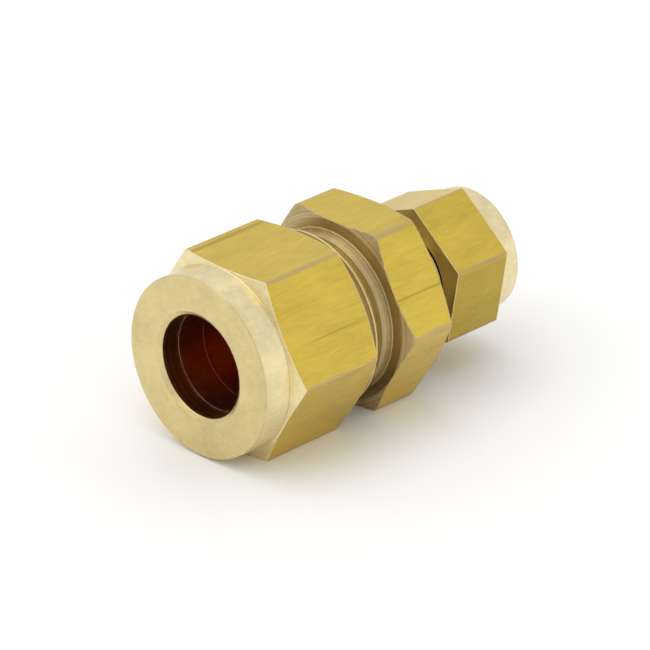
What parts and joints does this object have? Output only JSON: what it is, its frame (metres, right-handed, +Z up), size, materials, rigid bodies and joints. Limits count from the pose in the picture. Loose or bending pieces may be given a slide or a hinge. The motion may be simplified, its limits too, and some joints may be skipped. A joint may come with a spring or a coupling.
{
  "type": "compression fitting",
  "caption": "Brass twin-ferrule compression fitting: a straight reducing union with a hexagon body, hexagon nuts on right-hand threads and loose ferrules for two tube sizes.",
  "frame": {"origin": "on the bore axis, halfway between the two nuts' outer faces", "axes": "+X along the bore axis towards the small end, +Z up, square to the flats that the fitting rests on"},
  "size_m": [0.044, 0.0252, 0.022],
  "materials": {
    "body_brass": "drawn hexagon bar with turned ends, satin",
    "nut_brass": "drawn hexagon bar with turned ends, satin",
    "ferrule_brass": "fine turned, satin"
  },
  "bodies": {
    "body": {"fitting_body": "body_brass"},
    "large_ferrules": {"large_front_ferrule": "ferrule_brass", "large_back_ferrule": "ferrule_brass"},
    "large_nut": {"large_nut": "nut_brass"},
    "small_ferrules": {"small_front_ferrule": "ferrule_brass", "small_back_ferrule": "ferrule_brass"},
    "small_nut": {"small_nut": "nut_brass"}
  },
  "joints": [
    {"name": "large_nut_travel", "type": "slide", "parent": "body", "child": "large_ferrules", "axis": [-1, 0, 0], "range_m": [0, 0.00763]},
    {"name": "large_nut_turn", "type": "hinge", "parent": "large_ferrules", "child": "large_nut", "pos_m": [-0.013, 0, 0], "axis": [-1, 0, 0], "range_deg": [0, 2160]},
    {"name": "small_nut_travel", "type": "slide", "parent": "body", "child": "small_ferrules", "axis": [1, 0, 0], "range_m": [0, 0.00382]},
    {"name": "small_nut_turn", "type": "hinge", "parent": "small_ferrules", "child": "small_nut", "pos_m": [0.016, 0, 0], "axis": [1, 0, 0], "range_deg": [0, 1080]}
  ],
  "couplings": [
    {"joint": "large_nut_travel", "follows": "large_nut_turn", "m_per_rad": 0.00020213},
    {"joint": "small_nut_travel", "follows": "small_nut_turn", "m_per_rad": 0.00020213}
  ]
}
